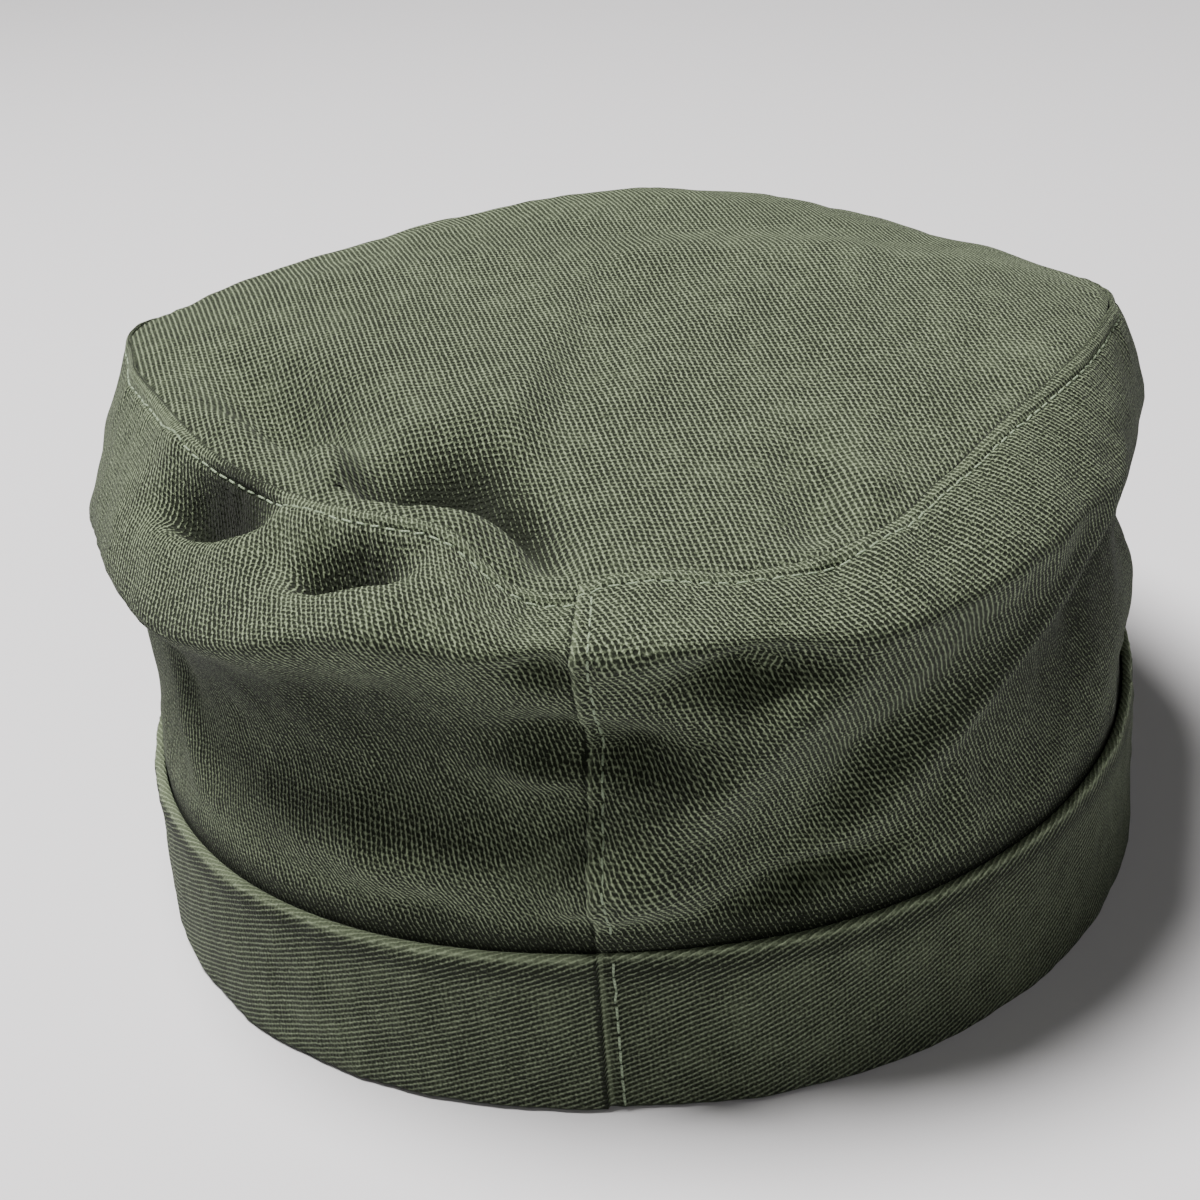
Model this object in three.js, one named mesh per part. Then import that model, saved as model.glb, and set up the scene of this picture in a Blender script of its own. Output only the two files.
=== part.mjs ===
// Patrol cap in cotton twill: an oval top, one side strip closed by a lapped seam at the back,
// a folded band round the opening, and a stiffened peak at the front.
// Millimetres, +Z up. The peak points along -Y and the back seam faces +Y.
// Everything is laid out round the middle of the head opening, where a turn of 0 degrees is the
// centre of the back and turns grow towards +X, the wearer's left.
import * as THREE from 'three';

// Driving dimensions
const BAND_HALF_WIDTH = 84;
const BAND_HALF_LENGTH = 100.8;
const OVAL_SQUARENESS = 2.15;
const BAND_HEIGHT = 25.8;
const BAND_WALL = 1.8;
const BAND_EDGE_ROUND = 0.5;
const CLOTH_WALL = 1.2;
const PIECE_GAP = 0.3;

// The band rests flat at the back and sides and arches up over the peak
const FRONT_LIFT = 11;
const LIFT_FROM_TURN = 92;
const LIFT_TO_TURN = 168;

// The side strip starts inside the band, a little above the band's lower edge
const FOOT_ABOVE_BAND_EDGE = 2;
const WAIST_UP = 50;
const LEDGE_RISE = 3;
const BELLY_SHARPNESS = 0.35;
const SEAM_ROLL = 1.6;
const SEAM_RISE = 0.9;

// Highest part of the oval top
const APEX_UP = 99.8;
const APEX_FORWARD = 12;
const TOP_SET_DOWN = 0.3;
const TOP_EDGE_BEVEL = 0.5;

// Lapped seam at the centre of the back: one end lies over the other
const LAP_STEP = 0.8;
const LAP_WIDTH = 9;
const LAP_FADE = 14;
const LAP_EDGE_TURN = 0.35;
const SEAM_LEAN = 1.5;
const SEAM_LEAN_SPREAD = 25;

// Peak
const PEAK_HALF_TURN = 58;
const PEAK_HALF_WIDTH = 77;
const PEAK_REACH = 62;
const PEAK_THICKNESS = 2.8;
const PEAK_END_LENGTH = 3;
const PEAK_EDGE_UP = 5.6;
const PEAK_END_UP = 3.5;
const PEAK_CAMBER = 1.6;
const PEAK_SQUARENESS = 2.6;

// Mesh steps
const TURN_STEPS = 96;
const INSIDE_BAND_ROWS = 2;
const SIDE_ROWS = 12;
const TOP_RINGS = 9;
const PEAK_COLUMNS = 36;
const PEAK_ROWS = 5;
const TURN_PROBE = 1.5;
const STEP_PROBE = 0.01;

// One row for each section round the cap. Outs are measured from the band's oval, ups from the
// plane the band rests on. The side strip is drawn in at the waist, rolls out at the belly and
// meets the top at the seam. Fall says how late the top bends down on its way out to the seam.
const SECTIONS = [
  { turn: -150, waistOut: -4, bellyOut: 2, bellyUp: 62, seamOut: -10, seamUp: 77, fall: 2.0 },
  { turn: -122, waistOut: -4, bellyOut: 2, bellyUp: 64, seamOut: -11, seamUp: 80, fall: 2.1 },
  { turn: -95, waistOut: -2, bellyOut: 2.5, bellyUp: 69, seamOut: -4, seamUp: 86, fall: 2.4 },
  { turn: -72, waistOut: -4, bellyOut: 0.5, bellyUp: 73, seamOut: -6, seamUp: 89, fall: 2.4 },
  { turn: -50, waistOut: -6, bellyOut: 3, bellyUp: 75, seamOut: -11, seamUp: 86.7, fall: 2.0 },
  { turn: -38, waistOut: -4, bellyOut: 5.5, bellyUp: 74, seamOut: -10.8, seamUp: 83.3, fall: 1.8 },
  { turn: -28, waistOut: -2, bellyOut: 6.5, bellyUp: 73, seamOut: -7.8, seamUp: 80.2, fall: 1.7 },
  { turn: -20, waistOut: -2, bellyOut: 6, bellyUp: 73, seamOut: -7.5, seamUp: 78.8, fall: 1.6 },
  { turn: -8, waistOut: -4, bellyOut: 5, bellyUp: 74, seamOut: -10.5, seamUp: 78.8, fall: 1.5 },
  { turn: 1, waistOut: -5, bellyOut: 5, bellyUp: 74, seamOut: -8.5, seamUp: 77.8, fall: 1.5 },
  { turn: 8, waistOut: -6, bellyOut: 5, bellyUp: 75, seamOut: -12.5, seamUp: 85, fall: 1.5 },
  { turn: 15, waistOut: -7, bellyOut: 5.5, bellyUp: 76, seamOut: -14, seamUp: 86, fall: 1.5 },
  { turn: 30, waistOut: -7, bellyOut: 6, bellyUp: 70.5, seamOut: -15, seamUp: 85.5, fall: 1.7 },
  { turn: 57, waistOut: -6, bellyOut: 3, bellyUp: 70, seamOut: -11, seamUp: 88.5, fall: 2.0 },
  { turn: 76, waistOut: -1, bellyOut: 5, bellyUp: 65, seamOut: -4.5, seamUp: 88.5, fall: 2.4 },
  { turn: 92, waistOut: 1, bellyOut: 7, bellyUp: 62, seamOut: 0, seamUp: 87, fall: 2.6 },
  { turn: 122, waistOut: -2, bellyOut: 4, bellyUp: 62, seamOut: -8, seamUp: 80, fall: 2.2 },
  { turn: 150, waistOut: -4, bellyOut: 2, bellyUp: 60, seamOut: -10, seamUp: 77, fall: 2.0 },
  { turn: 180, waistOut: -4, bellyOut: 1, bellyUp: 60, seamOut: -8, seamUp: 76, fall: 2.0 },
];

// Folds and dents of the side strip: where the middle is, half its length and half its width,
// how steeply it climbs as the turn grows, and how far it stands out (or in, below zero)
const SIDE_FOLDS = [
  { name: 'roll along the left shoulder', turn: 33, up: 69, length: 25, width: 4, climb: -6, out: 1.5 },
  { name: 'hollow below the left shoulder', turn: 20, up: 62, length: 30, width: 9, climb: 0, out: -3.5 },
  { name: 'pinch left of the back seam', turn: 0, up: 60, length: 8, width: 3, climb: -6, out: -4 },
  { name: 'streak left of the back seam', turn: 1, up: 52.5, length: 9, width: 2.5, climb: 4, out: 3 },
  { name: 'pinch under the shoulder', turn: 0, up: 72, length: 5, width: 2.5, climb: 0, out: -4 },
  { name: 'bulge above the band', turn: 16, up: 38, length: 22, width: 5, climb: 0, out: 5 },
  { name: 'fold down the far left', turn: 50, up: 43, length: 22, width: 4, climb: 32, out: 2 },
  { name: 'low roll on the left', turn: 92, up: 42, length: 26, width: 9, climb: 0, out: 4 },
  { name: 'hollow under the right shoulder', turn: -15, up: 69.5, length: 11, width: 3.5, climb: 0, out: -6 },
  { name: 'hollow beside the back seam', turn: -6, up: 56.5, length: 10, width: 4, climb: -8, out: -6 },
  { name: 'broad fold on the right', turn: -11, up: 51, length: 25, width: 6, climb: -42, out: 7 },
  { name: 'valley beside that fold', turn: -25, up: 49, length: 22, width: 5, climb: -40, out: -4 },
  { name: 'bulge right of the back seam', turn: -6, up: 37, length: 9, width: 4.5, climb: -6, out: 4.5 },
  { name: 'long fold on the right', turn: -41, up: 57, length: 30, width: 3.5, climb: -30, out: 3 },
  { name: 'hollow behind that fold', turn: -66, up: 56, length: 28, width: 8, climb: -32, out: -3 },
  { name: 'short fold above the band', turn: -35, up: 39, length: 8, width: 3, climb: 75, out: 1.5 },
  { name: 'crease above the band', turn: -18, up: 31.5, length: 15, width: 3.2, climb: -14, out: -6 },
  { name: 'low roll on the right', turn: -96, up: 37, length: 30, width: 8, climb: 0, out: 3 },
  { name: 'notch above that roll', turn: -98, up: 52, length: 22, width: 5, climb: 0, out: -3 },
  { name: 'soft fold at the front left', turn: 138, up: 55, length: 30, width: 9, climb: 24, out: 2.5 },
  { name: 'soft fold at the front right', turn: -140, up: 56, length: 32, width: 9, climb: -22, out: 2.5 },
];

// Folds and dents of the top and of the shoulder outside its seam, placed in plan. Heading 0 runs
// along X and 90 along Y.
const TOP_FOLDS = [
  { name: 'dent by the back seam', x: 20, y: 68, length: 11, width: 7.5, heading: 6, up: -13 },
  { name: 'deepest part of that dent', x: 14, y: 74, length: 8, width: 4.5, heading: -4, up: -9 },
  { name: 'tail of that dent', x: 4, y: 79, length: 9, width: 3.5, heading: 116, up: -5 },
  { name: 'lip left of the dents', x: 35, y: 69, length: 11, width: 4, heading: 97, up: 4.5 },
  { name: 'valley on the left', x: 46, y: 44, length: 19, width: 6.5, heading: -46, up: -12 },
  { name: 'lump by the left seam', x: 59, y: 55, length: 9, width: 6, heading: -40, up: 4 },
  { name: 'long dent outside the left seam', x: 52, y: 67, length: 12, width: 4.5, heading: -36, up: -13 },
  { name: 'bump outside the left seam', x: 40, y: 77, length: 5, width: 5, heading: 45, up: 4 },
  { name: 'pinch beside that bump', x: 41, y: 81, length: 4, width: 3.5, heading: -30, up: -3 },
  { name: 'dent outside the kink', x: 29, y: 88, length: 8, width: 4, heading: -18, up: -13 },
  { name: 'valley on the right', x: -34, y: 73, length: 14, width: 4.5, heading: 97, up: -3.5 },
  { name: 'roll beside that valley', x: -42, y: 74, length: 12, width: 5, heading: 95, up: 1.5 },
  { name: 'crest across the middle', x: -4, y: 6, length: 60, width: 6, heading: 0, up: 0.8 },
  { name: 'valley past the crest', x: -10, y: -8, length: 60, width: 7, heading: 0, up: -1.2 },
  { name: 'rise towards the front', x: 4, y: -30, length: 45, width: 12, heading: 0, up: 1.2 },
];

const degrees = THREE.MathUtils.degToRad;
const smooth = THREE.MathUtils.smoothstep;
const mix = THREE.MathUtils.lerp;

// Cubic curve between two values with a slope at each end
function cubic(from, to, slopeFrom, slopeTo, share) {
  const square = share * share;
  const cube = square * share;
  return from * (2 * cube - 3 * square + 1)
    + slopeFrom * (cube - 2 * square + share)
    + to * (3 * square - 2 * cube)
    + slopeTo * (cube - square);
}

// A column of the section table at any turn, as one smooth closed curve
function section(column, turn) {
  const count = SECTIONS.length;
  const row = (index) => {
    const lap = Math.floor(index / count);
    const found = SECTIONS[index - lap * count];
    return { turn: found.turn + lap * 360, value: found[column] };
  };
  const wrapped = THREE.MathUtils.euclideanModulo(turn - SECTIONS[0].turn, 360) + SECTIONS[0].turn;
  let index = 0;
  while (row(index + 1).turn < wrapped) index += 1;
  const before = row(index - 1);
  const from = row(index);
  const to = row(index + 1);
  const after = row(index + 2);
  const span = to.turn - from.turn;
  const slopeFrom = span * (to.value - before.value) / (to.turn - before.turn);
  const slopeTo = span * (after.value - from.value) / (after.turn - from.turn);
  return cubic(from.value, to.value, slopeFrom, slopeTo, (wrapped - from.turn) / span);
}

// Distance of the band's outside from the middle of the opening
function ovalRadius(turn) {
  const across = Math.abs(Math.sin(degrees(turn)) / BAND_HALF_WIDTH) ** OVAL_SQUARENESS;
  const along = Math.abs(Math.cos(degrees(turn)) / BAND_HALF_LENGTH) ** OVAL_SQUARENESS;
  return (across + along) ** (-1 / OVAL_SQUARENESS);
}

function pointAt(turn, out, up) {
  const radius = ovalRadius(turn) + out;
  return new THREE.Vector3(radius * Math.sin(degrees(turn)), radius * Math.cos(degrees(turn)), up);
}

// How far the band's lower edge stands off the resting plane
function liftAt(turn) {
  return FRONT_LIFT * smooth(Math.abs(turn), LIFT_FROM_TURN, LIFT_TO_TURN);
}

// The upper end of the lap stands out by one layer, with a crisp edge at turn 0
function lapOut(turn) {
  if (turn > 0) return 0;
  const distance = -degrees(turn) * BAND_HALF_LENGTH;
  return LAP_STEP * (1 - smooth(distance, LAP_WIDTH, LAP_WIDTH + LAP_FADE));
}

// Height of a fold at a place given by its distances from the fold's middle
function foldHeight(along, across, fold, heading) {
  const cos = Math.cos(degrees(heading));
  const sin = Math.sin(degrees(heading));
  const lengthwise = (along * cos + across * sin) / fold.length;
  const crosswise = (across * cos - along * sin) / fold.width;
  return Math.exp(-lengthwise * lengthwise - crosswise * crosswise);
}

function sideFoldsOut(turn, up) {
  let out = 0;
  for (const fold of SIDE_FOLDS) {
    const away = THREE.MathUtils.euclideanModulo(turn - fold.turn + 180, 360) - 180;
    const along = degrees(away) * ovalRadius(fold.turn);
    out += fold.out * foldHeight(along, up - fold.up, fold, fold.climb);
  }
  return out;
}

function topFoldsUp(x, y) {
  let up = 0;
  for (const fold of TOP_FOLDS) {
    up += fold.up * foldHeight(x - fold.x, y - fold.y, fold, fold.heading);
  }
  return up;
}

// Face of the side strip. Rise 0 is where it leaves the band, 1 the waist, 2 the belly, 3 the seam.
function sidePoint(turn, rise) {
  const ledgeOut = -BAND_WALL - PIECE_GAP;
  const outs = [ledgeOut, section('waistOut', turn), section('bellyOut', turn), section('seamOut', turn)];
  const ledgeUp = BAND_HEIGHT + liftAt(turn) + LEDGE_RISE;
  const waistUp = WAIST_UP + liftAt(turn) / 2;
  const ups = [ledgeUp, waistUp, section('bellyUp', turn), section('seamUp', turn)];
  const slopes = (values, atSeam) => [
    values[1] - values[0],
    (values[2] - values[0]) / 2,
    ((values[3] - values[1]) / 2) * BELLY_SHARPNESS,
    (values[3] - values[2]) * atSeam,
  ];
  const outSlopes = slopes(outs, SEAM_ROLL);
  const upSlopes = slopes(ups, SEAM_RISE);
  const from = Math.min(Math.floor(rise), 2);
  const share = rise - from;
  const out = cubic(outs[from], outs[from + 1], outSlopes[from], outSlopes[from + 1], share);
  const up = cubic(ups[from], ups[from + 1], upSlopes[from], upSlopes[from + 1], share);
  const held = smooth(rise, 0, 0.25) * (1 - smooth(rise, 2.85, 3));
  const lean = SEAM_LEAN * (rise / 3) * Math.exp(-((turn / SEAM_LEAN_SPREAD) ** 2));
  const point = pointAt(turn + lean, out + held * sideFoldsOut(turn, up), up);
  const onShoulder = smooth(rise, 2, 2.6) * (1 - smooth(rise, 2.85, 3));
  point.z += onShoulder * topFoldsUp(point.x, point.y);
  return point;
}

// The same face with the lap's upper layer on it
function lappedSidePoint(turn, rise) {
  const point = sidePoint(turn, rise);
  const radius = Math.hypot(point.x, point.y);
  const grown = 1 + (lapOut(turn) * smooth(rise, 0, 0.3)) / radius;
  return new THREE.Vector3(point.x * grown, point.y * grown, point.z);
}

// Moves a point of a surface by a distance square to the surface. A positive distance goes
// to the side that turns and rises wind round to: inwards on the strip, upwards on the top.
function offsetPoint(surface, turn, step, distance) {
  const along = surface(turn + TURN_PROBE, step).sub(surface(turn - TURN_PROBE, step));
  const across = surface(turn, step + STEP_PROBE).sub(surface(turn, step - STEP_PROBE));
  const square = along.cross(across).normalize();
  return surface(turn, step).addScaledVector(square, distance);
}

// Face of the oval top. Reach 0 is the middle and 1 the edge, inside the side strip's upper edge.
function topPoint(turn, reach) {
  const rim = sidePoint(turn, 3);
  const seat = offsetPoint(sidePoint, turn, 3, CLOTH_WALL);
  const seatRadius = Math.hypot(seat.x, seat.y);
  const inset = 1 - PIECE_GAP / seatRadius;
  const x = seat.x * inset * reach;
  const y = mix(-APEX_FORWARD, seat.y * inset, reach);
  const edgeUp = rim.z - TOP_SET_DOWN;
  const up = APEX_UP + (edgeUp - APEX_UP) * reach ** section('fall', turn);
  return new THREE.Vector3(x, y, up + topFoldsUp(x, y) * (1 - smooth(reach, 0.93, 1)));
}

function indexedGeometry(points, index) {
  const positions = points.flatMap((point) => [point.x, point.y, point.z]);
  const geometry = new THREE.BufferGeometry();
  geometry.setAttribute('position', new THREE.Float32BufferAttribute(positions, 3));
  geometry.setIndex(index);
  geometry.computeVertexNormals();
  return geometry;
}

// Joins sections, each a list of points in the same order, into one closed body.
// Sections either run round in a ring or have flat ends.
function bodyFromSections(sections, ring) {
  const perSection = sections[0].length;
  const index = [];
  const spans = ring ? sections.length : sections.length - 1;
  for (let s = 0; s < spans; s += 1) {
    for (let p = 0; p < perSection; p += 1) {
      const here = s * perSection;
      const next = ((s + 1) % sections.length) * perSection;
      const after = (p + 1) % perSection;
      index.push(here + p, here + after, next + after);
      index.push(here + p, next + after, next + p);
    }
  }
  if (!ring) {
    const last = (sections.length - 1) * perSection;
    for (let p = 1; p < perSection - 1; p += 1) {
      index.push(0, p + 1, p);
      index.push(last, last + p, last + p + 1);
    }
  }
  return indexedGeometry(sections.flat(), index);
}

// Turns round the cap, with one extra beside the lap's edge so that the edge is crisp
function turnsRound() {
  const turns = [];
  for (let step = 0; step < TURN_STEPS; step += 1) {
    const turn = -180 + (360 * (step + 1)) / TURN_STEPS;
    turns.push(turn);
    if (Math.abs(turn) < 1e-9) turns.push(LAP_EDGE_TURN);
  }
  return turns;
}

// Gives each turn's section of one wall: its outside from the foot up, then its inside back down
function sideStripSection(turn) {
  const outside = [];
  const inside = [];
  const outsideOut = -BAND_WALL - PIECE_GAP;
  const footUp = liftAt(turn) + FOOT_ABOVE_BAND_EDGE;
  const ledgeUp = sidePoint(turn, 0).z;
  for (let row = 0; row <= INSIDE_BAND_ROWS; row += 1) {
    const up = mix(footUp, ledgeUp, row / INSIDE_BAND_ROWS);
    outside.push(pointAt(turn, outsideOut, up));
    inside.push(pointAt(turn, outsideOut - CLOTH_WALL, up));
  }
  for (let row = 1; row <= SIDE_ROWS; row += 1) {
    const rise = (3 * row) / SIDE_ROWS;
    outside.push(lappedSidePoint(turn, rise));
    inside.push(offsetPoint(sidePoint, turn, rise, CLOTH_WALL));
  }
  return [...outside, ...inside.reverse()];
}

// The band is a strip of even height with a rounded folded edge at the top
function bandSection(turn) {
  const foot = liftAt(turn);
  const head = foot + BAND_HEIGHT;
  const face = lapOut(turn);
  const round = BAND_EDGE_ROUND;
  return [
    pointAt(turn, face, foot),
    pointAt(turn, face, mix(foot, head, 0.5)),
    pointAt(turn, face, head - round),
    pointAt(turn, face - round, head),
    pointAt(turn, -BAND_WALL + round, head),
    pointAt(turn, -BAND_WALL, head - round),
    pointAt(turn, -BAND_WALL, mix(foot, head, 0.5)),
    pointAt(turn, -BAND_WALL, foot),
  ];
}

// The top is a disc of cloth: rings of points on its face, the same below, and one point at each middle
function topGeometry() {
  const turns = turnsRound();
  const positions = [];
  const index = [];
  const addRing = (pointFor) => {
    const first = positions.length;
    turns.forEach((turn) => positions.push(pointFor(turn)));
    return first;
  };
  const rings = [];
  for (let ring = 1; ring < TOP_RINGS; ring += 1) {
    rings.push(addRing((turn) => offsetPoint(topPoint, turn, ring / TOP_RINGS, -CLOTH_WALL)));
  }
  rings.push(addRing((turn) => {
    const edge = topPoint(turn, 1);
    const shrink = 1 - TOP_EDGE_BEVEL / Math.hypot(edge.x, edge.y);
    return new THREE.Vector3(edge.x * shrink, edge.y * shrink, edge.z - CLOTH_WALL);
  }));
  for (let ring = TOP_RINGS; ring > 0; ring -= 1) {
    rings.push(addRing((turn) => topPoint(turn, ring / TOP_RINGS)));
  }
  const below = positions.push(topPoint(0, 0).setZ(topPoint(0, 0).z - CLOTH_WALL)) - 1;
  const above = positions.push(topPoint(0, 0)) - 1;
  turns.forEach((turn, here) => {
    const next = (here + 1) % turns.length;
    index.push(below, rings[0] + here, rings[0] + next);
    for (let ring = 1; ring < rings.length; ring += 1) {
      index.push(rings[ring - 1] + here, rings[ring] + here, rings[ring] + next);
      index.push(rings[ring - 1] + here, rings[ring] + next, rings[ring - 1] + next);
    }
    const innermost = rings[rings.length - 1];
    index.push(above, innermost + next, innermost + here);
  });
  return indexedGeometry(positions, index);
}

// One section of the peak, forward on top from its seam with the band and back along its underside.
// Sweep runs from -90 to 90 degrees, from one end of the peak to the other.
function peakSection(sweep) {
  const sin = Math.sin(degrees(sweep));
  const cos = Math.cos(degrees(sweep));
  const seamTurn = 180 - (PEAK_HALF_TURN * sweep) / 90;
  const seamUp = liftAt(seamTurn > 180 ? 360 - seamTurn : seamTurn) - PIECE_GAP;
  const seam = pointAt(seamTurn, -BAND_WALL, seamUp);
  const endY = pointAt(180 - PEAK_HALF_TURN, 0, 0).y;
  const power = 2 / PEAK_SQUARENESS;
  const edgeX = PEAK_HALF_WIDTH * Math.sign(sin) * Math.abs(sin) ** power;
  const length = BAND_HALF_LENGTH + PEAK_REACH + endY - PEAK_END_LENGTH;
  const edgeY = endY - PEAK_END_LENGTH - length * Math.max(cos, 0) ** power;
  const edge = new THREE.Vector3(edgeX, edgeY, mix(PEAK_END_UP, PEAK_EDGE_UP, cos));
  const face = [];
  for (let row = 0; row <= PEAK_ROWS; row += 1) {
    const share = row / PEAK_ROWS;
    const point = seam.clone().lerp(edge, share);
    point.z += PEAK_CAMBER * cos * 4 * share * (1 - share);
    face.push(point);
  }
  const underside = face.map((point) => new THREE.Vector3(point.x, point.y, point.z - PEAK_THICKNESS));
  return [...face, ...underside.reverse()];
}

function peakGeometry() {
  const sections = [];
  for (let column = 0; column <= PEAK_COLUMNS; column += 1) {
    sections.push(peakSection(-90 + (180 * column) / PEAK_COLUMNS));
  }
  return bodyFromSections(sections, false);
}

function clothMaterial(colour) {
  return new THREE.MeshStandardMaterial({ color: colour, roughness: 0.95, metalness: 0 });
}

const GREEN_TWILL = 0x4d5a42;
const GREEN_BAND = 0x465239;

function piece(name, geometry, colour) {
  const mesh = new THREE.Mesh(geometry, clothMaterial(colour));
  mesh.name = name;
  return mesh;
}

const cap = new THREE.Group();
cap.add(piece('crown_top', topGeometry(), GREEN_TWILL));
cap.add(piece('crown_side', bodyFromSections(turnsRound().map(sideStripSection), true), GREEN_TWILL));
cap.add(piece('band', bodyFromSections(turnsRound().map(bandSection), true), GREEN_BAND));
cap.add(piece('peak', peakGeometry(), GREEN_BAND));

// The origin is the middle of the bottom of the cap's bounding box
const bounds = new THREE.Box3().setFromObject(cap, true);
cap.position.set(-(bounds.min.x + bounds.max.x) / 2, -(bounds.min.y + bounds.max.y) / 2, -bounds.min.z);
cap.updateMatrixWorld(true);

export default cap;
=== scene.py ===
# Looks of a cotton twill patrol cap that rests on a pale floor, seen from behind and above.
# Sizes are in millimetres about the middle of the head opening and become metres when a mesh is
# made. A turn of 0 degrees is the centre of the back and turns grow towards +X.
import math

import bpy
import numpy as np
from mathutils import Matrix, Vector


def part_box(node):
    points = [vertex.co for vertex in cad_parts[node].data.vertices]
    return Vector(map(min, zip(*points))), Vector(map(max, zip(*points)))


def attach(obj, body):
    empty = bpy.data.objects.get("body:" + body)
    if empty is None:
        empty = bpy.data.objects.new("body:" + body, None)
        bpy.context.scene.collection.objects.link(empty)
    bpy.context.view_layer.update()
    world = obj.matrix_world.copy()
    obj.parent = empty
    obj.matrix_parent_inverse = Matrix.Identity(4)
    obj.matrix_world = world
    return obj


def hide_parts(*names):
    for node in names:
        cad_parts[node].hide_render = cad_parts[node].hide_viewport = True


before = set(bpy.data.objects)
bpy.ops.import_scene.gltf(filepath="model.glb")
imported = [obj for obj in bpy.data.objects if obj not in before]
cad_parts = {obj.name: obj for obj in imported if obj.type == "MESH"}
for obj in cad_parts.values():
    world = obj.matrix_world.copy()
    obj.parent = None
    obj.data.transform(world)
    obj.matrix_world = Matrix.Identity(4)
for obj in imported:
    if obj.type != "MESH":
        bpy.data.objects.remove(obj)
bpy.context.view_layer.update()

METRES = 0.001

# Camera, as the photo's view of the band gives it
CAMERA_ELEVATION = 24.28
CAMERA_AZIMUTH = 7.92
CAMERA_ROLL = 4.62
CAMERA_DISTANCE = 420
CAMERA_TARGET = (7.34, 0, 34.66)
SENSOR_WIDTH = 36
FOCAL_LENGTH = 71.62

# Sizes shared with the solids
BAND_HALF_WIDTH = 84
BAND_HALF_LENGTH = 100.8
OVAL_SQUARENESS = 2.15
BAND_HEIGHT = 25.8
BAND_WALL = 1.8
CLOTH_WALL = 1.2
PIECE_GAP = 0.3
FRONT_LIFT = 11
LIFT_FROM_TURN = 92
LIFT_TO_TURN = 168
FOOT_ABOVE_BAND_EDGE = 2
WAIST_UP = 50
LEDGE_RISE = 3
BELLY_SHARPNESS = 0.35
SEAM_ROLL = 1.6
SEAM_RISE = 0.9
APEX_UP = 99.8
APEX_FORWARD = 12
LAP_STEP = 0.8
LAP_WIDTH = 9
LAP_FADE = 14
SEAM_LEAN = 1.5
SEAM_LEAN_SPREAD = 25
PEAK_HALF_TURN = 58
PEAK_HALF_WIDTH = 77
PEAK_REACH = 62
PEAK_THICKNESS = 2.8
PEAK_END_LENGTH = 3
PEAK_EDGE_UP = 5.6
PEAK_END_UP = 3.5
PEAK_CAMBER = 1.6
PEAK_SQUARENESS = 2.6

# Degrees that the back seam lies further to the right here than on the solids, low down and at the top
SEAM_SHIFT_LOW = 1.2
SEAM_SHIFT_HIGH = 3.2

# Stitches
STITCH_PITCH = 2.45
STITCH_LENGTH = 2.0
STITCH_WANDER = 0.05
STITCH_SKEW = 0.07
STITCH_LIFT = 0.12
STITCH_SINK = 0.06
STITCH_DIVE = 0.45
STITCH_TAPER = 0.55
STITCH_RINGS = 9
STITCH_SIDES = 8
THREAD_RADIUS = 0.19
TOPSTITCH_IN = 2.2
BACK_STITCHES_FROM = 3.4
BACK_STITCH_LIFT = 0.03
BAND_STITCHES_FROM = 0.2
BAND_STITCH_LIFT = -0.07
PEAK_STITCH_IN = 4

# Sewn edges and seams
EDGE_ROUND = 0.35
WELT_HIGH = 0.16
WELT_HALF_WIDTH = 0.8
STITCH_DIP = 0.32
STITCH_DIP_HALF_WIDTH = 0.5
TOP_TUCK = 0.2
TOP_TUCK_WIDTH = 0.9
TOP_INSET = 1.2
LAP_RIDGE_IN = 0.6
LAP_RIDGE_HIGH = 0.24
LAP_RIDGE_HALF_WIDTH = 0.6
LAP_GROOVE = 0.2
BAND_RIDGE_HIGH = 0.22
BAND_RIDGE_HALF_WIDTH = 0.5
RIM_HIGH = 0.28
RIM_HALF_WIDTH = 0.55
RIM_GROOVE = 0.15
PEAK_GROOVE = 0.25
NOSE_FLATNESS = 0.7
PUCKER_REACH = 6
BACK_PUCKER_REACH = 7
CREASE_HALF_WIDTH = 1.1

# Unevenness of each cloth, as soft noises that add up: height, wavelength and seed of each
WELT_WAVES = ((0.25, 7, 3),)
LAP_WAVES = ((0.3, 5, 8),)
SIDE_PUCKERS = ((0.22, 6.5, 5), (0.132, 3.2, 6))
BACK_PUCKERS = ((0.22, 7, 9),)
SIDE_LUMPS = ((0.3, 17, 11), (0.1, 6, 12))
TOP_PUCKERS = ((0.2, 6.5, 15), (0.12, 3.4, 16))
TOP_LONG_LUMPS = ((0.25, 20, 21),)
TOP_SHORT_LUMPS = ((0.08, 7, 22),)
BAND_LUMPS = ((0.14, 14, 31), (0.07, 5, 32))
RIM_WAVES = ((0.2, 1.0, 33),)
RIM_WEAR_WAVES = ((0.5, 0.9, 34),)
PEAK_LUMPS = ((0.1, 16, 41),)

# Wear and painted shade: how much paler worn cloth is along folds and edges, and how much darker
# painted shade makes it in gaps, creases and dents
SEAM_PALE = 0.35
LAP_FOLD_PALE = 1.5
LAP_GAP_PAINTED_SHADE = 2.2
SIDE_LAP_SHARE = 0.7
RIM_PALE = 2.2
RIM_BACK_PALE = 1.2
RIM_GROOVE_PAINTED_SHADE = 0.7
CREASE_PAINTED_SHADE = 0.9
FOOT_PAINTED_SHADE = 3
TURNED_EDGE_PAINTED_SHADE = 0.8
# Painted shade in the dents: how dark, and the depths where it begins and is full
DENT_PAINTED_SHADE = 3.6
DENT_PAINTED_SHADE_FROM = 2
DENT_PAINTED_SHADE_TO = 13

# Colours of the cloth and the thread; deep in the weave's pits the colour is painted shade
PIT_SHADE_GREEN = (0.010, 0.013, 0.007)
TIP_GREEN = (0.250, 0.304, 0.190)
BAND_TIP_GREEN = (0.262, 0.316, 0.200)
THREAD_DARK = (0.10, 0.13, 0.08)
THREAD_LIGHT = (0.32, 0.40, 0.27)

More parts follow.
